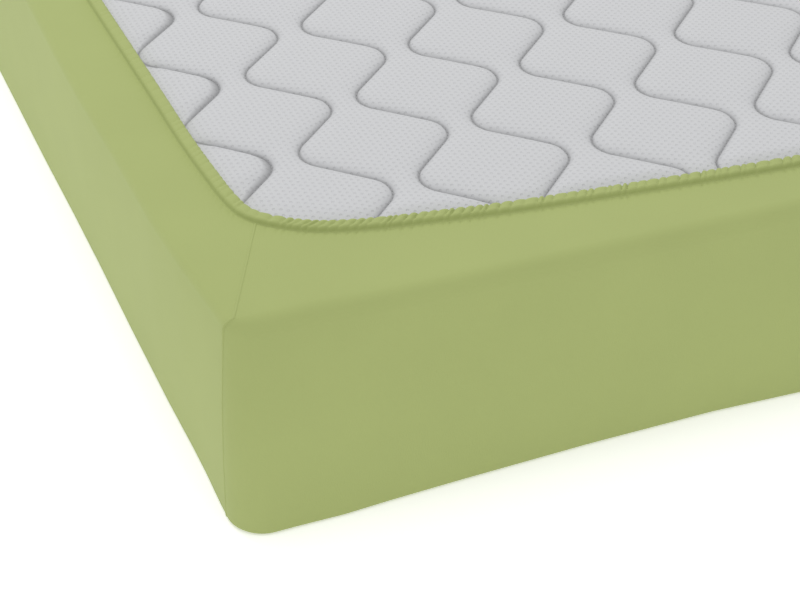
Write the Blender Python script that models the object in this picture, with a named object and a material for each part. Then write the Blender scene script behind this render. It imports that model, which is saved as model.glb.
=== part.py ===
"""A stretch fitted sheet pulled over a mattress that lies with its covered face down.

The sheet wraps the lower face and the four sides, turns over the upper edges and ends in a
thick rolled hem that frames a bare field of the mattress. The origin is the centre of the face
it rests on. X runs along the short sides, Y along the long sides and Z up, in metres.
"""

import math

import bmesh
import bpy
import numpy as np

# Driving dimensions
WIDTH = 1.40
LENGTH = 2.00
HEIGHT = 0.20
CLOTH = 0.002
TOUCH_GAP = 0.0004
EDGE_GAP = 0.002
CORNER_RADIUS = 0.030
LOWER_EDGE_RADIUS = 0.004
UPPER_EDGE_RADIUS = {"long": 0.008, "short": 0.015}
SIDE_SWELL = 0.002
HEM_WIDTH = 0.0135
HEM_RISE = 0.0055
FIELD_RISE = 0.004
FIELD_SLOPE = 0.014

# How far a side stands in from its plane, at the foot and at the top, by distance from a corner
SIDE_LINE = {
    "from_corner": (0.00, 0.05, 0.09, 0.13, 0.20, 0.32, 0.44, 0.54, 0.66, 1.00),
    "long_foot": (-0.002, -0.002, -0.001, -0.001, -0.002, -0.002, -0.001, -0.001, -0.002, -0.002),
    "long_top": (0.007, 0.005, 0.002, -0.001, -0.004, -0.004, -0.006, -0.005, -0.002, 0.000),
    "short_foot": (-0.003, -0.003, -0.004, -0.002, 0.000, 0.002, 0.001, -0.005, -0.004, -0.004),
    "short_top": (0.017, 0.014, 0.014, 0.010, 0.007, 0.004, 0.001, -0.001, 0.000, 0.000),
}

# Free edge of the hem round a corner, from the middle of a long side to that of a short side
HEM_LINE = {
    "from_long_side": (
        0.0640, 0.0655, 0.0670, 0.0675, 0.0700, 0.0725, 0.0768, 0.0823, 0.0885, 0.0970,
        0.1123, 0.1290, 0.1674, 0.2153, 0.2750, 0.3612, 0.4524, 0.5468, 0.7000,
    ),
    "from_short_side": (
        1.0000, 0.6000, 0.4000, 0.3000, 0.2350, 0.1980, 0.1740, 0.1633, 0.1562, 0.1486,
        0.1374, 0.1290, 0.1178, 0.1090, 0.0988, 0.0885, 0.0788, 0.0705, 0.0655,
    ),
}
HEM_CORNER_ROW = 8
HEM_SPANS_PER_ROW = 12

# The cloth is pulled askew at the corner, and runs square to the hem this much further along
SKEW_FADE = 0.22

# Slow drift of the hem away from the first corner, so that no two corners match
HEM_DRIFT = {"waves": (3, 5, 8), "depth": (0.0030, 0.0020, 0.0012), "turn": (0.4, 2.1, 4.4)}

# Section of the rolled hem: part of its width from the seam, part of its rise
HEM_ROLL = {"across": (0.06, 0.28, 0.55, 0.85, 0.99), "up": (0.45, 0.95, 1.00, 0.72, 0.15)}

# Where the cloth between the upper edge and the hem seam is divided
BAND_PARTS = (0.35, 0.70, 1.00)

# Ring points: even round the corner's arc, then further apart up to the longest span
ARC_SPANS = 4
SPAN_GROWTH = 0.36
LONGEST_SPAN = 0.12

HALF_ARC = CORNER_RADIUS * math.pi / 4
SHEET_COLOUR = (0.40, 0.46, 0.17)
MATTRESS_COLOUR = (0.74, 0.75, 0.78)


def remove_scene_objects():
    for obj in list(bpy.data.objects):
        bpy.data.objects.remove(obj, do_unlink=True)


def principled(name, colour, roughness):
    material = bpy.data.materials.new(name)
    material.use_nodes = True
    shader = material.node_tree.nodes["Principled BSDF"]
    shader.inputs["Base Color"].default_value = (*colour, 1.0)
    shader.inputs["Roughness"].default_value = roughness
    shader.inputs["Metallic"].default_value = 0.0
    material.diffuse_color = (*colour, 1.0)
    return material


def smooth_curve(points):
    """A centripetal Catmull-Rom curve that crosses both middles square."""
    before = points[1] * (1, -1) + (0, 2 * points[0][1])
    after = points[-2] * (-1, 1) + (2 * points[-1][0], 0)
    chain = np.vstack([before, points, after])
    gaps = np.linalg.norm(np.diff(chain, axis=0), axis=1) ** 0.5
    knots = np.concatenate([[0], np.cumsum(gaps)])
    curve = []
    for i in range(1, len(chain) - 2):
        p0, p1, p2, p3 = chain[i - 1:i + 3]
        t0, t1, t2, t3 = knots[i - 1:i + 3]
        for t in np.linspace(t1, t2, HEM_SPANS_PER_ROW, endpoint=False):
            a1 = ((t1 - t) * p0 + (t - t0) * p1) / (t1 - t0)
            a2 = ((t2 - t) * p1 + (t - t1) * p2) / (t2 - t1)
            a3 = ((t3 - t) * p2 + (t - t2) * p3) / (t3 - t2)
            b1 = ((t2 - t) * a1 + (t - t0) * a2) / (t2 - t0)
            b2 = ((t3 - t) * a2 + (t - t1) * a3) / (t3 - t1)
            curve.append(((t2 - t) * b1 + (t - t1) * b2) / (t2 - t1))
    curve.append(points[-1])
    return np.array(curve)


def lengths_along(curve):
    return np.concatenate([[0], np.cumsum(np.linalg.norm(np.diff(curve, axis=0), axis=1))])


def place_along(curve, part):
    """The point at a part of the curve's length, and the normal there, towards the corner."""
    travelled = lengths_along(curve)
    where = part * travelled[-1]
    point = np.array([np.interp(where, travelled, curve[:, k]) for k in range(2)])
    slope = np.gradient(curve, travelled, axis=0)
    tangent = np.array([np.interp(where, travelled, slope[:, k]) for k in range(2)])
    normal = np.array([tangent[1], -tangent[0]]) / np.linalg.norm(tangent)
    return point, normal if normal.sum() < 0 else -normal


def steps_from_corner(reach):
    steps = list(np.linspace(0, HALF_ARC, ARC_SPANS + 1))
    while reach - steps[-1] > 1.4 * min(LONGEST_SPAN, SPAN_GROWTH * steps[-1]):
        steps.append(steps[-1] + min(LONGEST_SPAN, SPAN_GROWTH * steps[-1]))
    return steps + [reach]


def corner_outline(step, on_long_side):
    """Point and inward normal of the rounded outline, a step along a side from the corner.

    Points are measured in from the long side, then in from the short side.
    """
    angle = max(0.0, math.pi / 4 - step / CORNER_RADIUS)
    normal = np.array([math.cos(angle), math.sin(angle)])
    point = CORNER_RADIUS * (1 - normal) + np.array([0.0, max(0.0, step - HALF_ARC)])
    return (point, normal) if on_long_side else (point[::-1], normal[::-1])


def corner_rows():
    """Outline and hem places of one corner, from the middle of its long side to its short one."""
    free_edge = smooth_curve(np.array([HEM_LINE["from_long_side"], HEM_LINE["from_short_side"]]).T)
    corner = HEM_CORNER_ROW * HEM_SPANS_PER_ROW
    rows = []
    for on_long_side, half, hem in (
        (True, LENGTH / 2, free_edge[corner::-1]),
        (False, WIDTH / 2, free_edge[corner:]),
    ):
        reach = half - CORNER_RADIUS + HALF_ARC
        shortfall = reach - lengths_along(hem)[-1]
        steps = np.array(steps_from_corner(reach))
        slid = steps - shortfall * (1 - np.exp(-steps / SKEW_FADE))
        side = [
            (*corner_outline(step, on_long_side), *place_along(hem, part))
            for step, part in zip(steps, slid / slid[-1])
        ]
        rows += side[:0:-1] if on_long_side else side
    return rows


def hem_drift(point):
    angle = math.atan2(point[1] / LENGTH, point[0] / WIDTH)
    away = 0.5 - 0.5 * math.cos(angle - math.atan2(-1, -1))
    waves = zip(HEM_DRIFT["waves"], HEM_DRIFT["depth"], HEM_DRIFT["turn"])
    return away * sum(depth * math.sin(count * angle + turn) for count, depth, turn in waves)


def full_ring():
    """The four corners in turn, anticlockwise from above, with each side's middle once."""
    rows = corner_rows()
    centre = np.array([WIDTH / 2, LENGTH / 2])
    ring = []
    for signs in ((-1, -1), (1, -1), (1, 1), (-1, 1)):
        order = rows if signs[0] == signs[1] else rows[::-1]
        for from_corner, inward, free_edge, hem_out in order[:-1]:
            row = {
                "from_corner": from_corner,
                "outline": (centre - from_corner) * signs,
                "inward": -inward * signs,
                "hem": (centre - free_edge) * signs,
                "hem_out": -hem_out * signs,
            }
            row["hem"] = row["hem"] - row["hem_out"] * hem_drift(row["hem"])
            ring.append(row)
    return ring


def side_shift(row, height):
    """Inward shift of the side at a ring point and a height."""
    lift = height / HEIGHT
    from_long, from_short = row["from_corner"]
    shift = []
    for side, distance in (("long", from_short), ("short", from_long)):
        foot = np.interp(distance, SIDE_LINE["from_corner"], SIDE_LINE[side + "_foot"])
        top = np.interp(distance, SIDE_LINE["from_corner"], SIDE_LINE[side + "_top"])
        shift.append(foot + (top - foot) * lift - SIDE_SWELL * math.sin(math.pi * lift))
    return row["inward"] * shift


def upper_radius(row):
    """The upper edge is tight along the long sides and softer along the short ones."""
    facing_long = row["inward"][0] ** 2
    return UPPER_EDGE_RADIUS["long"] * facing_long + UPPER_EDGE_RADIUS["short"] * (1 - facing_long)


def side_section(row, depth, extra_radius):
    """Section a depth inside the outer face: lower face, lower edge, side and upper edge."""
    radius_below = LOWER_EDGE_RADIUS - CLOTH * (depth > 0) + extra_radius
    radius_above = upper_radius(row) - CLOTH * (depth > 0) + extra_radius
    stations = []
    for angle in np.linspace(0, math.pi / 2, 4):
        inset = depth + radius_below * (1 - math.sin(angle))
        stations.append((inset, depth + radius_below * (1 - math.cos(angle))))
    stations += [(depth, HEIGHT * part) for part in (0.25, 0.50, 0.75)]
    for angle in np.linspace(0, math.pi / 2, 5):
        inset = depth + radius_above * (1 - math.cos(angle))
        stations.append((inset, HEIGHT - depth - radius_above * (1 - math.sin(angle))))
    points = []
    for inset, height in stations:
        plan = row["outline"] + row["inward"] * inset + side_shift(row, height)
        points.append((*plan, height))
    return points


def sheet_section(row):
    """Outer skin from the lower face to the hem, then the inner skin back to the lower face."""
    outer = side_section(row, 0.0, 0.0)
    inner = side_section(row, CLOTH, 0.0)
    shoulder = np.array(outer[-1][:2])
    seam = row["hem"] + row["hem_out"] * HEM_WIDTH
    band = [(*(shoulder + (seam - shoulder) * part), HEIGHT) for part in BAND_PARTS]
    roll = []
    for across, up in zip(HEM_ROLL["across"], HEM_ROLL["up"]):
        roll.append((*(seam - row["hem_out"] * HEM_WIDTH * across), HEIGHT + HEM_RISE * up))
    underside = []
    for back in (0.001, HEM_WIDTH):
        underside.append((*(row["hem"] + row["hem_out"] * back), HEIGHT - CLOTH))
    return outer + band + roll + underside + inner[::-1]


def mattress_section(row):
    """Lower face, side and upper edge under the cloth, then up to the swell of the bare field."""
    depth = CLOTH + TOUCH_GAP
    side = side_section(row, depth, (EDGE_GAP - TOUCH_GAP) / (math.sqrt(2) - 1))
    rim = row["hem"] - row["hem_out"] * 0.002
    field = row["hem"] - row["hem_out"] * FIELD_SLOPE
    top = HEIGHT - depth
    return side + [(*rim, top), (*field, top + FIELD_RISE)]


def solid_through(name, sections, material):
    """One closed body: a skin through the sections in ring order, and a flat face at each end."""
    body = bmesh.new()
    rows = [[body.verts.new(point) for point in section] for section in sections]
    for here, there in zip(rows, rows[1:] + rows[:1]):
        for k in range(len(here) - 1):
            body.faces.new((here[k], there[k], there[k + 1], here[k + 1]))
    body.faces.new([row[0] for row in rows])
    body.faces.new([row[-1] for row in rows])
    bmesh.ops.triangulate(body, faces=body.faces[:])
    bmesh.ops.recalc_face_normals(body, faces=body.faces[:])
    mesh = bpy.data.meshes.new(name)
    body.to_mesh(mesh)
    body.free()
    mesh.materials.append(material)
    mesh.shade_smooth()
    mesh.set_sharp_from_angle(angle=math.radians(30))
    obj = bpy.data.objects.new(name, mesh)
    bpy.context.collection.objects.link(obj)
    return obj


def make_fitted_sheet(ring):
    cloth = principled("stretch_cloth", SHEET_COLOUR, 0.85)
    return solid_through("fitted_sheet", [sheet_section(row) for row in ring], cloth)


def make_mattress(ring):
    ticking = principled("mattress_ticking", MATTRESS_COLOUR, 0.9)
    return solid_through("mattress", [mattress_section(row) for row in ring], ticking)


remove_scene_objects()
outline_ring = full_ring()
make_fitted_sheet(outline_ring)
make_mattress(outline_ring)
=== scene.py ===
"""A stretch fitted sheet pulled over a quilted mattress that lies with its covered face down.

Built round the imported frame, in metres. X runs along the short sides, Y along the long ones and
Z up. Places along the hem are distances anticlockwise from the middle of a long side.
"""
import math

import bpy
import numpy as np
from mathutils import Matrix, Vector
from mathutils.kdtree import KDTree


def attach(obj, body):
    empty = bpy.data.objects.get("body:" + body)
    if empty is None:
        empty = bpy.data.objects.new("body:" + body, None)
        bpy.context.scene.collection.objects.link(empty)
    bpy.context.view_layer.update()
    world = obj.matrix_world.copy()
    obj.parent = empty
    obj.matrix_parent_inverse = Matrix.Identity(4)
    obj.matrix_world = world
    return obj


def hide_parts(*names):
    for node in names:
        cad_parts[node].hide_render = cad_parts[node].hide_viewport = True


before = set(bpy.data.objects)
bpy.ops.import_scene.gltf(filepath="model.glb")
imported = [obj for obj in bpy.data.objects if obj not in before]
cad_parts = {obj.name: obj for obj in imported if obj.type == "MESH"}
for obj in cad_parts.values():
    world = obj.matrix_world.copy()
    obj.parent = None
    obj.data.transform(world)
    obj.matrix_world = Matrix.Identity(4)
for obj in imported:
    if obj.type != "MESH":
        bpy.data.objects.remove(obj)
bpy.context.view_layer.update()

# ==== Viewpoint ====
# A long lens looks down on the near left corner of the mattress, close enough that both sides
# run out of the picture.
LENS = 88.464
CAMERA_PLACE = (-1.0294, -2.1753, 1.0715)
CAMERA_AZIMUTH = math.radians(-21.856)
CAMERA_ELEVATION = math.radians(34.492)
CAMERA_ROLL = math.radians(-0.462)

camera_data = bpy.data.cameras.new("camera")
camera_data.lens = LENS
camera_data.sensor_width = 36.0
camera_data.clip_end = 50.0
camera = bpy.data.objects.new("camera", camera_data)
bpy.context.collection.objects.link(camera)
camera.matrix_world = (
    Matrix.Translation(CAMERA_PLACE)
    @ Matrix.Rotation(CAMERA_AZIMUTH, 4, "Z")
    @ Matrix.Rotation(math.pi / 2 - CAMERA_ELEVATION, 4, "X")
    @ Matrix.Rotation(CAMERA_ROLL, 4, "Z")
)
bpy.context.scene.camera = camera
bpy.context.scene.view_settings.view_transform = "Standard"

# ==== Mattress ====
# A foam core in a zipped cover of soft white knit. The cover's top is quilted to its wadding
# along mirrored wavy lines, so that it rises in a puffed cell wherever two lines part.
WIDTH = 1.40
LENGTH = 2.00
HEIGHT = 0.20
CLOTH = 0.002
TOUCH_GAP = 0.0004
EDGE_GAP = 0.002
CORNER_RADIUS = 0.030
LOWER_EDGE_RADIUS = 0.004
UPPER_EDGE_RADIUS = {"long": 0.008, "short": 0.015}
SIDE_SWELL = 0.002
HALF_ARC = CORNER_RADIUS * math.pi / 4

# How far a side stands in from its plane, at the foot and at the top, by distance from a corner
SIDE_LINE = {
    "from_corner": (0.00, 0.05, 0.09, 0.13, 0.20, 0.32, 0.44, 0.54, 0.66, 1.00),
    "long_foot": (-0.002, -0.002, -0.001, -0.001, -0.002, -0.002, -0.001, -0.001, -0.002, -0.002),
    "long_top": (0.007, 0.005, 0.002, -0.001, -0.004, -0.004, -0.006, -0.005, -0.002, 0.000),
    "short_foot": (-0.003, -0.003, -0.004, -0.002, 0.000, 0.002, 0.001, -0.005, -0.004, -0.004),
    "short_top": (0.017, 0.014, 0.014, 0.010, 0.007, 0.004, 0.001, -0.001, 0.000, 0.000),
}

# Free edge of the hem round a corner, from the middle of a long side to that of a short side
HEM_LINE = {
    "from_long_side": (
        0.0640, 0.0655, 0.0670, 0.0675, 0.0700, 0.0725, 0.0768, 0.0823, 0.0885, 0.0970,
        0.1123, 0.1290, 0.1674, 0.2153, 0.2750, 0.3612, 0.4524, 0.5468, 0.7000,
    ),
    "from_short_side": (
        1.0000, 0.6000, 0.4000, 0.3000, 0.2350, 0.1980, 0.1740, 0.1633, 0.1562, 0.1486,
        0.1374, 0.1290, 0.1178, 0.1090, 0.0988, 0.0885, 0.0788, 0.0705, 0.0655,
    ),
}
HEM_CORNER_ROW = 8
HEM_SPANS_PER_ROW = 12
SKEW_FADE = 0.22
HEM_DRIFT = {"waves": (3, 5, 8), "depth": (0.0030, 0.0020, 0.0012), "turn": (0.4, 2.1, 4.4)}

# Quilting lines, in the cover's own directions: x across the lines and y along them, measured
# from the near left corner of the mattress
QUILT_TURN = math.radians(-0.849)
FIRST_LINE = 0.0876
LINE_SPACING = 0.0827
LINES = 16
WAVE_DEPTH = 0.0275
WAVE_LENGTH = 0.1562
WAVE_TIP = 0.2451
TIP_RADIUS = (WAVE_LENGTH / 4 - WAVE_DEPTH) / (math.sqrt(2) - 1)
QUILT_MARGIN = {"across": 0.036, "along": 0.047}
QUILT_ROW = 0.0045
STRIP_COLUMNS = (0.018, 0.06, 0.14, 0.26, 0.42, 0.58, 0.74, 0.86, 0.94, 0.982, 1.0)
EDGE_STRIP_COLUMNS = (0.35, 0.70, 0.90, 1.0)
LEAST_STRIP = 0.003
GROOVE_LEVEL = 0.1968
CELL_RISE = 0.0062
CELL_ROUNDING = 0.0048
# STITCH_SHADE sets how fast the grooves' painted shade fades away from a stitch line
STITCH_SHADE = 0.0010
PRESSED_LEVEL = 0.1974
PRESSED_REACH = 0.016
MATTRESS_COLUMN = 0.040
ARC_COLUMNS_COARSE = 6
TICKING_COLOUR = (0.615, 0.620, 0.632)
KNIT_ACROSS = 0.01098
KNIT_ALONG = 0.00649


def smooth_curve(points):
    """A centripetal Catmull-Rom curve that crosses both middles square."""
    before = points[1] * (1, -1) + (0, 2 * points[0][1])
    after = points[-2] * (-1, 1) + (2 * points[-1][0], 0)
    chain = np.vstack([before, points, after])
    gaps = np.linalg.norm(np.diff(chain, axis=0), axis=1) ** 0.5
    knots = np.concatenate([[0], np.cumsum(gaps)])
    curve = []
    for i in range(1, len(chain) - 2):
        p0, p1, p2, p3 = chain[i - 1:i + 3]
        t0, t1, t2, t3 = knots[i - 1:i + 3]
        for t in np.linspace(t1, t2, HEM_SPANS_PER_ROW, endpoint=False):
            a1 = ((t1 - t) * p0 + (t - t0) * p1) / (t1 - t0)
            a2 = ((t2 - t) * p1 + (t - t1) * p2) / (t2 - t1)
            a3 = ((t3 - t) * p2 + (t - t2) * p3) / (t3 - t2)
            b1 = ((t2 - t) * a1 + (t - t0) * a2) / (t2 - t0)
            b2 = ((t3 - t) * a2 + (t - t1) * a3) / (t3 - t1)
            curve.append(((t2 - t) * b1 + (t - t1) * b2) / (t2 - t1))
    curve.append(points[-1])
    return np.array(curve)


def lengths_along(curve):
    return np.concatenate([[0], np.cumsum(np.linalg.norm(np.diff(curve, axis=0), axis=1))])


def half_side(reach, hem):
    """One side from its corner to its middle: the hem's line, and the outline step it faces."""
    travelled = lengths_along(hem)
    slope = np.gradient(hem, travelled, axis=0)
    normal = np.column_stack([slope[:, 1], -slope[:, 0]])
    normal *= -np.sign(normal.sum(axis=1, keepdims=True))
    normal /= np.linalg.norm(normal, axis=1, keepdims=True)
    steps = np.linspace(0, reach, 600)
    slid = steps - (reach - travelled[-1]) * (1 - np.exp(-steps / SKEW_FADE))
    return {
        "hem": hem, "hem_out": normal, "travelled": travelled,
        "steps": steps, "hem_at_step": slid / slid[-1] * travelled[-1],
    }


free_edge = smooth_curve(np.array([HEM_LINE["from_long_side"], HEM_LINE["from_short_side"]]).T)
corner_point = HEM_CORNER_ROW * HEM_SPANS_PER_ROW
SIDES = {
    "long": half_side(LENGTH / 2 - CORNER_RADIUS + HALF_ARC, free_edge[corner_point::-1]),
    "short": half_side(WIDTH / 2 - CORNER_RADIUS + HALF_ARC, free_edge[corner_point:]),
}
LONG_HALF = SIDES["long"]["travelled"][-1]
SHORT_HALF = SIDES["short"]["travelled"][-1]
HEM_QUARTER = LONG_HALF + SHORT_HALF
HEM_ROUND = 4 * HEM_QUARTER
CORNER_SIGNS = np.array([(-1, -1), (1, -1), (1, 1), (-1, 1)])


def hem_drift(points):
    """Slow drift of the hem away from the first corner, so that no two corners match."""
    angle = np.arctan2(points[:, 1] / LENGTH, points[:, 0] / WIDTH)
    away = 0.5 - 0.5 * np.cos(angle - math.atan2(-1, -1))
    waves = zip(HEM_DRIFT["waves"], HEM_DRIFT["depth"], HEM_DRIFT["turn"])
    return away * sum(depth * np.sin(count * angle + turn) for count, depth, turn in waves)


def places_round(positions):
    """Outline, hem line and their normals at positions round the hem, as columns of a ring."""
    positions = np.asarray(positions) % HEM_ROUND
    quarter = np.minimum((positions // HEM_QUARTER).astype(int), 3)
    from_long = quarter % 2 == 0
    past_corner = positions - quarter * HEM_QUARTER - np.where(from_long, LONG_HALF, SHORT_HALF)
    on_long = from_long == (past_corner < 0)
    outline = np.zeros((len(positions), 2))
    inward, hem, hem_out = outline.copy(), outline.copy(), outline.copy()
    for name, here in (("long", on_long), ("short", ~on_long)):
        side = SIDES[name]
        distance = np.abs(past_corner[here])
        step = np.interp(distance, side["hem_at_step"], side["steps"])
        angle = np.maximum(0, math.pi / 4 - step / CORNER_RADIUS)
        normal = np.column_stack([np.cos(angle), np.sin(angle)])
        point = CORNER_RADIUS * (1 - normal)
        point[:, 1] += np.maximum(0, step - HALF_ARC)
        if name == "short":
            normal, point = normal[:, ::-1], point[:, ::-1]
        outline[here], inward[here] = point, normal
        for k in range(2):
            hem[here, k] = np.interp(distance, side["travelled"], side["hem"][:, k])
            hem_out[here, k] = np.interp(distance, side["travelled"], side["hem_out"][:, k])
    hem_out /= np.linalg.norm(hem_out, axis=1, keepdims=True)
    signs = CORNER_SIGNS[quarter]
    middle = np.array([WIDTH / 2, LENGTH / 2])
    hem = (middle - hem) * signs
    hem_out = -hem_out * signs
    return {
        "at": positions, "past_corner": past_corner, "on_long": on_long, "from_corner": outline,
        "outline": (middle - outline) * signs, "inward": -inward * signs,
        "hem": hem - hem_out * hem_drift(hem)[:, None], "hem_out": hem_out,
    }


def side_shift(ring, height):
    """Inward shift of the sides at a height, from their drawn-in and swelling shape."""
    lift = height / HEIGHT
    shift = np.zeros((len(ring["at"]), 2))
    for k, side in enumerate(("long", "short")):
        distance = ring["from_corner"][:, 1 - k]
        foot = np.interp(distance, SIDE_LINE["from_corner"], SIDE_LINE[side + "_foot"])
        top = np.interp(distance, SIDE_LINE["from_corner"], SIDE_LINE[side + "_top"])
        shift[:, k] = foot + (top - foot) * lift - SIDE_SWELL * np.sin(math.pi * lift)
    return ring["inward"] * shift


def side_rows(ring, depth, extra_radius=0.0, foot_rows=4, wall_rows=3, shoulder_rows=5):
    """Rows a depth inside the outer face: lower edge, side and upper edge, each row a ring."""
    facing_long = ring["inward"][:, 0] ** 2
    tight, soft = UPPER_EDGE_RADIUS["long"], UPPER_EDGE_RADIUS["short"]
    below = LOWER_EDGE_RADIUS - CLOTH * (depth > 0) + extra_radius
    above = tight * facing_long + soft * (1 - facing_long) - CLOTH * (depth > 0) + extra_radius
    level = np.ones(len(ring["at"]))
    stations = []
    for angle in np.linspace(0, math.pi / 2, foot_rows):
        rise = depth + below * (1 - math.cos(angle))
        stations.append(((depth + below * (1 - math.sin(angle))) * level, rise * level))
    for part in np.linspace(0, 1, wall_rows + 2)[1:-1]:
        foot, shoulder = depth + below, HEIGHT - depth - above
        stations.append((depth * level, foot + (shoulder - foot) * part))
    for angle in np.linspace(0, math.pi / 2, shoulder_rows):
        inset = depth + above * (1 - math.cos(angle))
        stations.append((inset, HEIGHT - depth - above * (1 - math.sin(angle))))
    rows = []
    for inset, height in stations:
        plan = ring["outline"] + ring["inward"] * inset[:, None] + side_shift(ring, height)
        rows.append(np.column_stack([plan, height]))
    return rows


def columns_by_step(arc_columns, spacing):
    """Ring positions even round each corner's arc and evenly spaced along the sides."""
    halves = []
    for name in ("long", "short"):
        side = SIDES[name]
        reach = side["steps"][-1]
        arc = np.linspace(0, HALF_ARC, arc_columns + 1)
        straight = np.linspace(HALF_ARC, reach, math.ceil((reach - HALF_ARC) / spacing) + 1)
        steps = np.concatenate([arc, straight[1:]])
        halves.append(np.interp(steps, side["steps"], side["hem_at_step"]))
    long_half, short_half = halves
    first = np.concatenate([LONG_HALF - long_half[:0:-1], LONG_HALF + short_half])
    second = np.concatenate([SHORT_HALF - short_half[:0:-1], SHORT_HALF + long_half])
    quarters = [(first, second)[k % 2][:-1] + k * HEM_QUARTER for k in range(4)]
    return np.concatenate(quarters)


class Skin:
    """A closed surface built from rings of points, each joined to the one before it."""

    def __init__(self):
        self.points, self.faces, self.notes = [], [], []
        self.count = 0

    def row(self, points, **notes):
        ids = np.arange(len(points)) + self.count
        self.count += len(points)
        self.points.append(np.asarray(points, float))
        self.notes.append({name: np.broadcast_to(v, len(points)) for name, v in notes.items()})
        return ids

    def strip(self, low, high):
        """Joins two rings with the same number of points."""
        after_low, after_high = np.roll(low, -1), np.roll(high, -1)
        self.faces += np.column_stack([low, after_low, after_high, high]).tolist()

    def bridge(self, low, low_at, high, high_at):
        """Joins two rings whose points lie at different positions."""
        ends = [np.append(at[1:], at[0] + at_round) for at, at_round in (low_at, high_at)]
        i = j = 0
        while i < len(low) or j < len(high):
            a, b = low[i % len(low)], high[j % len(high)]
            if j == len(high) or (i < len(low) and ends[0][i] <= ends[1][j]):
                i += 1
                self.faces.append([a, low[i % len(low)], b])
            else:
                j += 1
                self.faces.append([a, high[j % len(high)], b])

    def mesh(self, name, material):
        made = bpy.data.meshes.new(name)
        made.from_pydata(np.vstack(self.points).tolist(), [], self.faces)
        made.materials.append(material)
        made.shade_smooth()
        return made

    def note(self, name):
        parts = zip(self.notes, self.points)
        return np.concatenate([note.get(name, np.zeros(len(points))) for note, points in parts])


class Value:
    """A shader socket that takes part in sums, so that a pattern reads as an expression."""

    def __init__(self, tree, socket):
        self.tree, self.socket = tree, socket

    def node(self, kind, settings=(), output=0, **inputs):
        """Any other node: its settings first, then the values or links of its sockets."""
        made = self.tree.nodes.new(kind)
        for name, value in dict(settings).items():
            setattr(made, name, value)
        for name, value in inputs.items():
            numbered = name[0] == "i" and name[1:].isdigit()
            place = int(name[1:]) if numbered else name.replace("_", " ")
            if isinstance(value, Value):
                self.tree.links.new(value.socket, made.inputs[place])
            else:
                made.inputs[place].default_value = value
        return Value(self.tree, made.outputs[output])

    def maths(self, operation, *values):
        inputs = {f"i{k}": value for k, value in enumerate(values)}
        return self.node("ShaderNodeMath", {"operation": operation}, **inputs)

    def __add__(self, other):
        return self.maths("ADD", self, other)

    def __radd__(self, other):
        return self.maths("ADD", other, self)

    def __sub__(self, other):
        return self.maths("SUBTRACT", self, other)

    def __rsub__(self, other):
        return self.maths("SUBTRACT", other, self)

    def __mul__(self, other):
        return self.maths("MULTIPLY", self, other)

    def __rmul__(self, other):
        return self.maths("MULTIPLY", other, self)

    def __truediv__(self, other):
        return self.maths("DIVIDE", self, other)

    def cosine(self):
        return self.maths("COSINE", self)

    def between(self, low, high):
        """0 at low, 1 at high, and smooth between."""
        return self.node("ShaderNodeMapRange", {"interpolation_type": "SMOOTHSTEP"},
                         Value=self, From_Min=low, From_Max=high)

    def mix(self, first, second):
        """From the first colour to the second as this value goes from 0 to 1."""
        return self.node("ShaderNodeMix", {"data_type": "RGBA"}, output=2,
                         i0=self, i6=first, i7=second)


def start_material(name, roughness, sheen=0.0):
    """A material with its shader, and a value to start its patterns from."""
    material = bpy.data.materials.new(name)
    material.use_nodes = True
    shader = material.node_tree.nodes["Principled BSDF"]
    shader.inputs["Roughness"].default_value = roughness
    shader.inputs["Specular IOR Level"].default_value = 0.25
    shader.inputs["Sheen Weight"].default_value = sheen
    shader.inputs["Sheen Roughness"].default_value = 0.5
    return material, shader, Value(material.node_tree, None)


def finish_material(shader, colour, height, distance, strength=1.0):
    """Feeds the pattern's colour, and its height through a bump, to the shader."""
    tree = colour.tree
    tree.links.new(colour.socket, shader.inputs["Base Color"])
    bump = colour.node("ShaderNodeBump", Height=height, Distance=distance, Strength=strength)
    tree.links.new(bump.socket, shader.inputs["Normal"])


def ticking_material():
    """Soft white knit, a small dimple at each tuck set out like a honeycomb; painted shade in dimples and
    grooves.
    """
    material, shader, start = start_material("quilted_ticking", 0.92, sheen=0.15)
    place = start.node("ShaderNodeTexCoord", output="Object")
    turned = start.node("ShaderNodeMapping", {"vector_type": "TEXTURE"}, Vector=place,
                        Rotation=(0, 0, QUILT_TURN))
    axes = start.node("ShaderNodeSeparateXYZ", Vector=turned)
    across = Value(start.tree, axes.socket.node.outputs["X"]) * (2 * math.pi / KNIT_ACROSS)
    along = Value(start.tree, axes.socket.node.outputs["Y"]) * (2 * math.pi / KNIT_ALONG)
    dimples = ((across * 2).cosine() + 2 * across.cosine() * along.cosine()) / 3
    spots = dimples.between(0.25, 0.95)
    lumps = start.node("ShaderNodeTexNoise", Vector=place, Scale=38.0, Detail=2.0)
    fuzz = start.node("ShaderNodeTexNoise", Vector=place, Scale=900.0, Detail=2.0)
    pale = (*TICKING_COLOUR, 1)
    deep = (*(c * 0.92 for c in TICKING_COLOUR), 1)
    # Painted shade in the dimples: the colour darkens where the knit dips, and varies a little at random
    # with the fine fuzz
    knit = (spots * 0.8 + fuzz * 0.25).mix(pale, deep)
    # Painted shade: the colour darkens towards each quilting groove, full on the stitch line and fading
    # within a millimetre or so
    stitches = start.node("ShaderNodeAttribute", {"attribute_name": "stitch_line"}, output="Fac")
    shaded = (*(c * 0.42 for c in TICKING_COLOUR), 1)
    colour = stitches.mix(knit, shaded)
    height = lumps * 0.5 + fuzz * 0.12 - spots
    finish_material(shader, colour, height, 0.0004)
    return material


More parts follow.
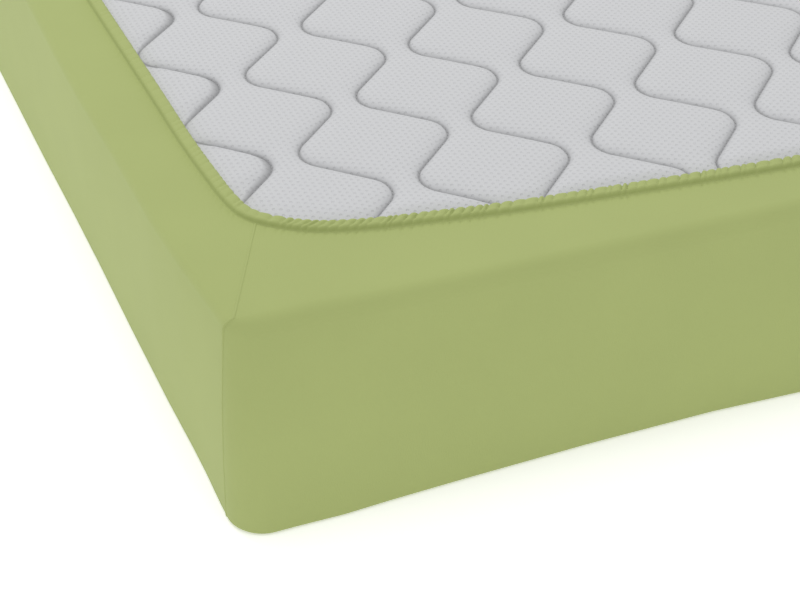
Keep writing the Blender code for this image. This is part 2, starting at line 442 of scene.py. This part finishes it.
def rounded_wave(along):
    """Straight 45 degree flanks joined by round tips, and the slope there."""
    phase = np.abs((along - WAVE_TIP + WAVE_LENGTH / 2) % WAVE_LENGTH - WAVE_LENGTH / 2)
    side = np.where(phase > WAVE_LENGTH / 4, -1.0, 1.0)
    phase = np.where(side > 0, phase, WAVE_LENGTH / 2 - phase)
    tip = np.minimum(phase, TIP_RADIUS * math.sqrt(0.5))
    drop = TIP_RADIUS - np.sqrt(TIP_RADIUS ** 2 - tip ** 2)
    slope = np.where(phase > tip, 1.0, tip / np.sqrt(TIP_RADIUS ** 2 - tip ** 2))
    return side * (WAVE_DEPTH - drop - np.maximum(0, phase - tip)), slope


def quilt_line(index, along):
    wave, slope = rounded_wave(along)
    return FIRST_LINE + LINE_SPACING * index + (1 if index % 2 == 0 else -1) * wave, slope


def from_quilt(across, along):
    """Plan place of a point given in the cover's own directions."""
    cos, sin = math.cos(QUILT_TURN), math.sin(QUILT_TURN)
    x = across * cos - along * sin - WIDTH / 2
    y = across * sin + along * cos - LENGTH / 2
    return np.stack([x, y], axis=-1)


hem_ring = places_round(np.arange(0, HEM_ROUND, 0.004))
hem_tree = KDTree(len(hem_ring["at"]))
for index, point in enumerate(hem_ring["hem"]):
    hem_tree.insert((*point, 0), index)
hem_tree.balance()


def inside_hem(plan):
    """Distance of each place from the hem's free edge, above 0 where the cover is bare."""
    distance = np.zeros(len(plan))
    for k, point in enumerate(plan):
        near = hem_tree.find((*point, 0))[1]
        away = point - hem_ring["hem"][near]
        distance[k] = -away @ hem_ring["hem_out"][near]
    return distance


def quilted_level(plan, room):
    """Height of the cover, where room is how far it can puff from the nearest stitches."""
    rise = CELL_RISE * (1 - np.exp(-room / CELL_ROUNDING))
    free = np.clip(inside_hem(plan) / PRESSED_REACH, 0, 1)
    free = free * free * (3 - 2 * free)
    return PRESSED_LEVEL + (GROOVE_LEVEL + rise - PRESSED_LEVEL) * free


def quilted_limits():
    """Where the quilted face starts and ends across and along, its margins even about the middle."""
    cos, sin = math.cos(QUILT_TURN), math.sin(QUILT_TURN)
    across = (WIDTH * cos + LENGTH * sin) / 2
    along = (LENGTH * cos - WIDTH * sin) / 2
    half_across = WIDTH / 2 - QUILT_MARGIN["across"]
    half_along = LENGTH / 2 - QUILT_MARGIN["along"]
    return across - half_across, across + half_across, along - half_along, along + half_along


def quilted_grid():
    """Points of the quilted face, row by row along the lines, with columns that follow them."""
    left_end, right_end, near_end, far_end = quilted_limits()
    rows = np.linspace(near_end, far_end, round((far_end - near_end) / QUILT_ROW))
    lines = [np.full(len(rows), left_end)]
    lines += [np.minimum(quilt_line(k, rows)[0], right_end - LEAST_STRIP) for k in range(LINES)]
    lines += [np.full(len(rows), right_end)]
    straightness = 1 / np.sqrt(1 + quilt_line(0, rows)[1] ** 2)
    across, room = [lines[0]], [lines[1] - lines[0]]
    for k, (left, right) in enumerate(zip(lines, lines[1:])):
        gap = right - left
        if k == 0:
            parts = EDGE_STRIP_COLUMNS
        elif k == LINES:
            parts = [1 - part for part in EDGE_STRIP_COLUMNS[-2::-1]] + [1.0]
        else:
            parts = STRIP_COLUMNS
        for part in parts:
            across.append(left + gap * part)
            if k == 0:
                room.append(gap * straightness * (1 - part))
            elif k == LINES:
                room.append(gap * straightness * part)
            else:
                room.append(gap * straightness * part * (1 - part))
    across, room = np.array(across).T, np.array(room).T
    plan = from_quilt(across, np.broadcast_to(rows[:, None], across.shape))
    level = quilted_level(plan.reshape(-1, 2), room.reshape(-1)).reshape(across.shape)
    # Also gives each point its share of the grooves' painted shade: 1 on a stitch line, falling off fast
    # with room
    return np.dstack([plan, level]), np.exp(-room / STITCH_SHADE)


def angle_round(points):
    """Position of a ring's points as an angle, anticlockwise from the middle of a long side."""
    return (np.arctan2(points[:, 1] / LENGTH, points[:, 0] / WIDTH) - math.pi) % (2 * math.pi)


def make_mattress():
    ring = places_round(columns_by_step(ARC_COLUMNS_COARSE, MATTRESS_COLUMN))
    extra_radius = (EDGE_GAP - TOUCH_GAP) / (math.sqrt(2) - 1)
    sides = side_rows(ring, CLOTH + TOUCH_GAP, extra_radius)
    skin = Skin()
    rows = [skin.row(points) for points in sides]
    skin.faces.append(rows[0][::-1].tolist())
    for low, high in zip(rows, rows[1:]):
        skin.strip(low, high)
    grid, stitch_line = quilted_grid()
    ids = skin.row(grid.reshape(-1, 3), stitch_line=stitch_line.reshape(-1)).reshape(grid.shape[:2])
    corners = (ids[:-1, :-1], ids[:-1, 1:], ids[1:, 1:], ids[1:, :-1])
    skin.faces += np.stack(corners, axis=-1).reshape(-1, 4).tolist()
    border = np.concatenate([ids[0, :-1], ids[:-1, -1], ids[-1, :0:-1], ids[:0:-1, 0]])
    points = np.vstack(skin.points)
    turn = angle_round(points[border])
    first = int(np.argmin(turn))
    whole = 2 * math.pi
    rim_turn = angle_round(sides[-1])
    rim_turn[0] = min(rim_turn[0], rim_turn[0] - whole, key=abs)
    skin.bridge(rows[-1], (rim_turn, whole), np.roll(border, -first), (np.roll(turn, -first), whole))
    mesh = skin.mesh("quilted_mattress", ticking_material())
    # Keeps the grooves' painted shade on each point for the ticking's colour
    layer = mesh.attributes.new("stitch_line", "FLOAT", "POINT")
    layer.data.foreach_set("value", skin.note("stitch_line"))
    mattress = bpy.data.objects.new("quilted_mattress", mesh)
    bpy.context.collection.objects.link(mattress)
    return mattress


mattress = make_mattress()
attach(mattress, "root")
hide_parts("mattress")

# ==== Quilting thread ====
# White spun polyester, one lockstitch after another along each wavy line. The stitches pull the
# cover down to its wadding and lie at the bottom of the groove.
STITCH_PITCH = 0.0055
STITCH_LENGTH = 0.0042
THREAD_RADIUS = 0.00035
THREAD_SIDES = 5
THREAD_COLOUR = (0.46, 0.46, 0.47)


def path_mesh(name, paths):
    """A wire mesh of open paths."""
    ends = np.cumsum([len(path) for path in paths])
    edges = [(k, k + 1) for k in range(ends[-1] - 1) if k + 1 not in set(ends)]
    wire = bpy.data.meshes.new(name)
    wire.from_pydata(np.vstack(paths).tolist(), edges, [])
    return wire


def run_tree(name, wire, tree, sizes):
    """Runs a node tree on a wire with the given sizes, and keeps the result as a plain mesh."""
    guide = bpy.data.objects.new(name + "_path", wire)
    bpy.context.collection.objects.link(guide)
    modifier = guide.modifiers.new(name, "NODES")
    modifier.node_group = tree
    for item in tree.interface.items_tree:
        if item.item_type == "SOCKET" and item.in_out == "INPUT" and item.name in sizes:
            modifier[item.identifier] = sizes[item.name]
    evaluated = guide.evaluated_get(bpy.context.evaluated_depsgraph_get())
    mesh = bpy.data.meshes.new_from_object(evaluated)
    guide.modifiers.remove(modifier)
    bpy.data.objects.remove(guide, do_unlink=True)
    bpy.data.node_groups.remove(tree)
    mesh.name = name
    made = bpy.data.objects.new(name, mesh)
    bpy.context.collection.objects.link(made)
    return made


def start_tree(name, sizes):
    """An empty geometry tree with named size inputs, and a helper that adds and links nodes."""
    tree = bpy.data.node_groups.new(name, "GeometryNodeTree")
    tree.interface.new_socket("Path", in_out="INPUT", socket_type="NodeSocketGeometry")
    for size in sizes:
        tree.interface.new_socket(size, in_out="INPUT", socket_type="NodeSocketFloat")
    tree.interface.new_socket("Made", in_out="OUTPUT", socket_type="NodeSocketGeometry")
    given = tree.nodes.new("NodeGroupInput").outputs

    def add(kind, settings=(), **inputs):
        node = tree.nodes.new(kind)
        for name, value in dict(settings).items():
            setattr(node, name, value)
        for name, value in inputs.items():
            socket = node.inputs[name.replace("_", " ")]
            if isinstance(value, bpy.types.NodeSocket):
                tree.links.new(value, socket)
            else:
                socket.default_value = value
        return node.outputs

    return tree, given, add


def stitch_tree(material):
    """Lays one short thread after another along every path."""
    tree, given, add = start_tree("lockstitches", ("Pitch", "Stitch Length", "Thread Radius"))
    curve = add("GeometryNodeMeshToCurve", Mesh=given["Path"])["Curve"]
    points = add("GeometryNodeCurveToPoints", {"mode": "LENGTH"}, Curve=curve, Length=given["Pitch"])
    thread = add("GeometryNodeMeshCylinder", {"fill_type": "NGON"}, Vertices=THREAD_SIDES,
                 Radius=given["Thread Radius"], Depth=given["Stitch Length"])["Mesh"]
    laid = add("GeometryNodeInstanceOnPoints", Points=points["Points"], Instance=thread,
               Rotation=points["Rotation"])["Instances"]
    real = add("GeometryNodeRealizeInstances", Geometry=laid)["Geometry"]
    finished = add("GeometryNodeSetMaterial", Geometry=real, Material=material)["Geometry"]
    add("NodeGroupOutput", Made=finished)
    return tree


def thread_material():
    material, shader, start = start_material("quilting_thread", 0.7, sheen=0.1)
    place = start.node("ShaderNodeTexCoord", output="Object")
    ply = start.node("ShaderNodeTexNoise", Vector=place, Scale=2600.0, Detail=1.0)
    pale = (*THREAD_COLOUR, 1)
    deep = (*(c * 0.8 for c in THREAD_COLOUR), 1)
    finish_material(shader, ply.mix(pale, deep), ply, 0.0001)
    return material


stitch_paths = []
for line in range(LINES):
    along = np.arange(*quilted_limits()[2:], QUILT_ROW)
    plan = from_quilt(quilt_line(line, along)[0], along)
    plan = plan[inside_hem(plan) > PRESSED_REACH]
    stitch_paths.append(np.column_stack([plan, np.full(len(plan), GROOVE_LEVEL + THREAD_RADIUS)]))
thread = run_tree("quilting_thread", path_mesh("quilting_lines", stitch_paths),
                  stitch_tree(thread_material()),
                  {"Pitch": STITCH_PITCH, "Stitch Length": STITCH_LENGTH, "Thread Radius": THREAD_RADIUS})
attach(thread, "root")

# ==== Fitted sheet ====
# One piece of stretch jersey with a dart sewn at each corner. Its edge is turned over a band of
# elastic, which draws the casing up into gathers: tight at the corners, slack on the long sides.
HEM_WIDTH = 0.0135
HEM_RISE = 0.0055
SHEET_COLUMN = 0.009
ARC_COLUMNS = 8
LINING_COLUMN = 0.030
FLOOR_INSET = 0.060
CASING_STEP = 0.0011
GATHER_SINK = 0.0030
GATHER_SPREAD = (0.55, 1.50)
GATHER_STRENGTH = (0.35, 1.0)

# How the elastic gathers the casing, by distance along the hem from a corner
GATHERS = {
    "from_corner": (0.00, 0.03, 0.10, 0.22, 0.45, 0.95),
    "short_pitch": (0.0070, 0.0064, 0.0070, 0.0085, 0.0092, 0.0092),
    "short_sink": (0.65, 1.00, 1.00, 0.90, 0.80, 0.75),
    "short_slant": (0.00, 0.80, 0.75, 0.50, 0.40, 0.00),
    "long_pitch": (0.0070, 0.0085, 0.0110, 0.0130, 0.0130, 0.0130),
    "long_sink": (0.65, 0.40, 0.28, 0.20, 0.18, 0.18),
    "long_slant": (0.00, 0.40, 0.50, 0.40, 0.30, 0.00),
}

# Section of the casing from its seam to under its free edge: where each row lies, as parts of
# the casing's width and rise, and how far a gather pulls it sideways and down
CASING = {
    "across": (0.00, 0.03, 0.09, 0.18, 0.30, 0.45, 0.60, 0.75, 0.88, 0.97, 1.00, 0.97),
    "up": (0.00, 0.34, 0.70, 0.92, 0.93, 0.95, 1.00, 0.98, 0.86, 0.60, 0.25, -0.10),
    "pull_in": (0.00, 0.20, 0.30, 0.20, 0.00, 0.00, 0.00, -0.15, -0.45, -0.70, -0.80, -0.50),
    "pull_down": (0.15, 0.20, 0.35, 0.55, 0.75, 0.95, 1.00, 1.00, 0.80, 0.45, 0.15, 0.00),
}

# Rows of the cloth just outside the seam, and how much of a gather's depth runs on into each
PUCKERS = {"out": (0.0140, 0.0090, 0.0055, 0.0028, 0.0010), "share": (0.00, 0.10, 0.22, 0.34, 0.30)}
SHEET_COLOUR = (0.400, 0.460, 0.170)


def sheet_material():
    """Fine single jersey dyed lime, its tone varying a little at random."""
    material, shader, start = start_material("lime_jersey", 0.85, sheen=0.06)
    cloth = start.node("ShaderNodeUVMap", {"uv_map": "cloth"})
    drawn_out = start.node("ShaderNodeMapping", Vector=cloth, Scale=(1100.0, 240.0, 1.0))
    wales = start.node("ShaderNodeTexNoise", Vector=drawn_out, Scale=1.0, Detail=1.0)
    place = start.node("ShaderNodeTexCoord", output="Object")
    cloud = start.node("ShaderNodeTexNoise", Vector=place, Scale=9.0, Detail=3.0)
    fuzz = start.node("ShaderNodeTexNoise", Vector=place, Scale=1400.0, Detail=1.0)
    tone = cloud * 0.6 + fuzz * 0.4
    pale = (*(c * 1.03 for c in SHEET_COLOUR), 1)
    deep = (*(c * 0.97 for c in SHEET_COLOUR), 1)
    colour = tone.between(0.2, 0.8).mix(pale, deep)
    finish_material(shader, colour, wales + fuzz * 0.6, 0.00012)
    return material


def gather_columns():
    """Ring positions of the casing's columns, five to a gather, and how deep each one sinks."""
    random = np.random.default_rng(11)
    at, valleys, depths = 0.0, [], []
    while at < HEM_ROUND - 0.004:
        place = places_round([at])
        side = "long" if place["on_long"][0] else "short"
        distance = abs(place["past_corner"][0])
        pitch, sink = (
            np.interp(distance, GATHERS["from_corner"], GATHERS[f"{side}_{what}"])
            for what in ("pitch", "sink")
        )
        valleys.append(at)
        depths.append(sink * random.uniform(*GATHER_STRENGTH))
        at += pitch * random.uniform(*GATHER_SPREAD)
    valleys, depths = np.array(valleys), np.array(depths)
    width = np.append(valleys[1:], HEM_ROUND) - valleys
    lip = np.minimum(CASING_STEP, 0.27 * width)
    next_depth = np.roll(depths, -1)
    columns = [valleys, valleys + lip, valleys + width * 0.36, valleys + width * 0.66]
    columns.append(valleys + width - np.minimum(lip, 0.2 * width))
    sinks = [depths, 0.35 * depths, -0.05 * depths, -0.05 * next_depth, 0.35 * next_depth]
    return np.column_stack(columns).reshape(-1), np.column_stack(sinks).reshape(-1)


def slant_at(ring):
    """Tangent of the angle by which the gathers lean, their free ends away from the corner."""
    distance = np.abs(ring["past_corner"])
    on_short, on_long = (
        np.interp(distance, GATHERS["from_corner"], GATHERS[side + "_slant"])
        for side in ("short", "long")
    )
    return np.where(ring["on_long"], on_long, on_short) * np.sign(ring["past_corner"])


def cloth_notes(ring, points):
    """Place on the cloth of a row: round the sheet, and up it from the foot."""
    gaps = np.linalg.norm(np.diff(ring["outline"], axis=0), axis=1)
    inset = np.linalg.norm(points[:, :2] - ring["outline"], axis=1)
    up = points[:, 2] + np.where(points[:, 2] > HEIGHT / 2, inset, -inset)
    return {"round": np.concatenate([[0], np.cumsum(gaps)]), "up": up}


def casing_rows(at, sinks):
    """Rows of the puckered cloth, the gathered casing and its underside, from outside in."""
    ring = places_round(at)
    shoulder = side_rows(ring, 0.0)[-1][:, :2]
    seam = ring["hem"] + ring["hem_out"] * HEM_WIDTH
    band = shoulder - seam
    band /= np.linalg.norm(band, axis=1, keepdims=True)
    rows = []
    for out, share in zip(PUCKERS["out"], PUCKERS["share"]):
        level = HEIGHT - GATHER_SINK * share * sinks
        rows.append(np.column_stack([seam + band * out, level]))
    lean = slant_at(ring)
    for across, up, pull_in, pull_down in zip(*CASING.values()):
        leaned = places_round(at + lean * HEM_WIDTH * across)
        sunk = GATHER_SINK * np.maximum(sinks, -0.2)
        out = HEM_WIDTH * (1 - across) - pull_in * sunk
        plan = leaned["hem"] + leaned["hem_out"] * out[:, None]
        rows.append(np.column_stack([plan, HEIGHT + HEM_RISE * up - pull_down * sunk]))
    return ring, rows


def make_sheet():
    """Outer skin from the foot to the gathered casing, then the lining side back to the foot."""
    skin = Skin()
    wall = places_round(columns_by_step(ARC_COLUMNS, SHEET_COLUMN))
    lining = places_round(columns_by_step(ARC_COLUMNS_COARSE, LINING_COLUMN))
    floor = lining["outline"] + lining["inward"] * FLOOR_INSET
    outer = side_rows(wall, 0.0, foot_rows=4, wall_rows=9, shoulder_rows=9)
    shoulder = outer[-1][:, :2]
    seam = wall["hem"] + wall["hem_out"] * HEM_WIDTH
    band = seam - shoulder
    reach = np.linalg.norm(band, axis=1, keepdims=True)
    last = 1 - (PUCKERS["out"][0] + 0.006) / reach
    for part in np.linspace(0, 1, 9)[1:]:
        outer.append(np.column_stack([shoulder + band * last * part, np.full(len(band), HEIGHT)]))

    def add(ring, points):
        return skin.row(points, **cloth_notes(ring, points))

    def whole(ring):
        return ring["at"], HEM_ROUND

    below = add(lining, np.column_stack([floor, np.zeros(len(floor))]))
    skin.faces.append(below[::-1].tolist())
    rows = [add(wall, points) for points in outer]
    skin.bridge(below, whole(lining), rows[0], whole(wall))
    for low, high in zip(rows, rows[1:]):
        skin.strip(low, high)
    at, sinks = gather_columns()
    casing, casing_points = casing_rows(at, sinks)
    casing_ids = [add(casing, points) for points in casing_points]
    skin.bridge(rows[-1], whole(wall), casing_ids[0], whole(casing))
    for low, high in zip(casing_ids, casing_ids[1:]):
        skin.strip(low, high)
    under = add(lining, np.column_stack([lining["hem"] + lining["hem_out"] * HEM_WIDTH,
                                         np.full(len(floor), HEIGHT - CLOTH)]))
    skin.bridge(casing_ids[-1], whole(casing), under, whole(lining))
    inner = [add(lining, points) for points in side_rows(lining, CLOTH)[::-1]]
    inner.append(add(lining, np.column_stack([floor, np.full(len(floor), CLOTH)])))
    for low, high in zip([under] + inner, inner):
        skin.strip(low, high)
    skin.faces.append(inner[-1].tolist())
    mesh = skin.mesh("stretch_sheet", sheet_material())
    lay_cloth_map(mesh, skin)
    sheet = bpy.data.objects.new("stretch_sheet", mesh)
    bpy.context.collection.objects.link(sheet)
    return sheet


def lay_cloth_map(mesh, skin):
    """A map in metres of the cloth, unbroken where a face crosses the ring's first column."""
    around, up = skin.note("round"), skin.note("up")
    corner = np.zeros(len(mesh.loops), np.int32)
    mesh.loops.foreach_get("vertex_index", corner)
    starts = np.zeros(len(mesh.polygons), np.int32)
    mesh.polygons.foreach_get("loop_start", starts)
    place = around[corner]
    whole = around.max()
    highest = np.repeat(np.maximum.reduceat(place, starts), np.diff(np.append(starts, len(place))))
    place = np.where(highest - place > whole / 2, place + whole, place)
    layer = mesh.uv_layers.new(name="cloth")
    layer.data.foreach_set("uv", np.column_stack([place, up[corner]]).reshape(-1))


# ---- Corner seams ----
# Each dart is sewn on the wrong side of the cloth, which leaves a fine raised line outside.
SEAM_RADIUS = 0.0016
SEAM_SUNK = 0.0010
SEAM_OFF_CORNER = {"foot": 0.010, "shoulder": 0.006, "hem": 0.006}
SEAM_BAND_POINTS = 12


def seam_tree(material):
    """A round bead swept along every path."""
    tree, given, add = start_tree("dart_seam", ("Radius",))
    curve = add("GeometryNodeMeshToCurve", Mesh=given["Path"])["Curve"]
    round_section = add("GeometryNodeCurvePrimitiveCircle", Resolution=8, Radius=given["Radius"])
    bead = add("GeometryNodeCurveToMesh", Curve=curve, Profile_Curve=round_section["Curve"],
               Fill_Caps=True)["Mesh"]
    real = add("GeometryNodeRealizeInstances", Geometry=bead)["Geometry"]
    finished = add("GeometryNodeSetMaterial", Geometry=real, Material=material)["Geometry"]
    add("NodeGroupOutput", Made=finished)
    return tree


def seam_path(corner):
    """Up the corner from its foot, over the upper edge, and across the band to the casing."""
    towards_long = -1 if corner % 2 == 0 else 1
    at_corner = corner * HEM_QUARTER + (LONG_HALF if corner % 2 == 0 else SHORT_HALF)
    rows = len(side_rows(places_round([0.0]), 0.0, wall_rows=9, shoulder_rows=9))
    off = np.linspace(SEAM_OFF_CORNER["foot"], SEAM_OFF_CORNER["shoulder"], rows)
    ring = places_round(at_corner + towards_long * off)
    upright = [row[k] for k, row in enumerate(side_rows(ring, 0.0, wall_rows=9, shoulder_rows=9))]
    end = places_round([at_corner + towards_long * SEAM_OFF_CORNER["hem"]])
    seam = np.append(end["hem"][0] + end["hem_out"][0] * HEM_WIDTH, HEIGHT)
    parts = np.linspace(0, 1, SEAM_BAND_POINTS)[1:, None]
    path = np.vstack([upright[2:], upright[-1] + (seam - upright[-1]) * parts])
    shoulder = HEIGHT - UPPER_EDGE_RADIUS["short"]
    raised = np.clip((path[:, 2] - shoulder) / UPPER_EDGE_RADIUS["short"], 0, 1)
    inward = ring["inward"][0]
    path[:, :2] += inward * (SEAM_SUNK * (1 - raised))[:, None]
    path[:, 2] -= SEAM_SUNK * raised
    return path


sheet = make_sheet()
corner_seams = run_tree("corner_seams", path_mesh("dart_lines", [seam_path(k) for k in range(4)]),
                        seam_tree(sheet.data.materials[0]), {"Radius": SEAM_RADIUS})
corner_seams.data.shade_smooth()
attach(corner_seams, "root")
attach(sheet, "root")
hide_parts("fitted_sheet")

# ==== Floor and light ====
# A plain white studio floor that glows a little, a white sky, a soft panel overhead and a smaller
# one high at the back left, which shades the near right side of every rise.
FLOOR_SIZE = 14.0
FLOOR_COLOUR = (0.95, 0.95, 0.95)
FLOOR_GLOW = 0.34
FLOOR_DROP = 0.0003
SKY_STRENGTH = 0.67
PANELS = {
    "top_panel": {"place": (-0.5, -0.7, 4.2), "size": 1.8, "power": 40.0},
    "back_panel": {"place": (-1.7, 2.6, 3.2), "size": 1.0, "power": 36.0},
}

floor_mesh = bpy.data.meshes.new("studio_floor")
half = FLOOR_SIZE / 2
ground = [(x * half, y * half, -FLOOR_DROP) for x, y in ((-1, -1), (1, -1), (1, 1), (-1, 1))]
floor_mesh.from_pydata(ground, [], [(0, 1, 2, 3)])
floor_material, floor_shader, floor_start = start_material("studio_white", 0.9)
floor_shader.inputs["Base Color"].default_value = (*FLOOR_COLOUR, 1)
floor_shader.inputs["Emission Color"].default_value = (1, 1, 1, 1)
floor_shader.inputs["Emission Strength"].default_value = FLOOR_GLOW
floor_mesh.materials.append(floor_material)
floor = bpy.data.objects.new("studio_floor", floor_mesh)
bpy.context.collection.objects.link(floor)

for name, panel in PANELS.items():
    light = bpy.data.lights.new(name, "AREA")
    light.shape = "SQUARE"
    light.size = panel["size"]
    light.energy = panel["power"]
    lamp = bpy.data.objects.new(name, light)
    bpy.context.collection.objects.link(lamp)
    lamp.location = panel["place"]
    lamp.rotation_euler = (-Vector(panel["place"])).to_track_quat("-Z", "Y").to_euler()

world = bpy.data.worlds.new("studio_sky")
world.use_nodes = True
sky = world.node_tree.nodes["Background"]
sky.inputs["Color"].default_value = (1, 1, 1, 1)
sky.inputs["Strength"].default_value = SKY_STRENGTH
bpy.context.scene.world = world
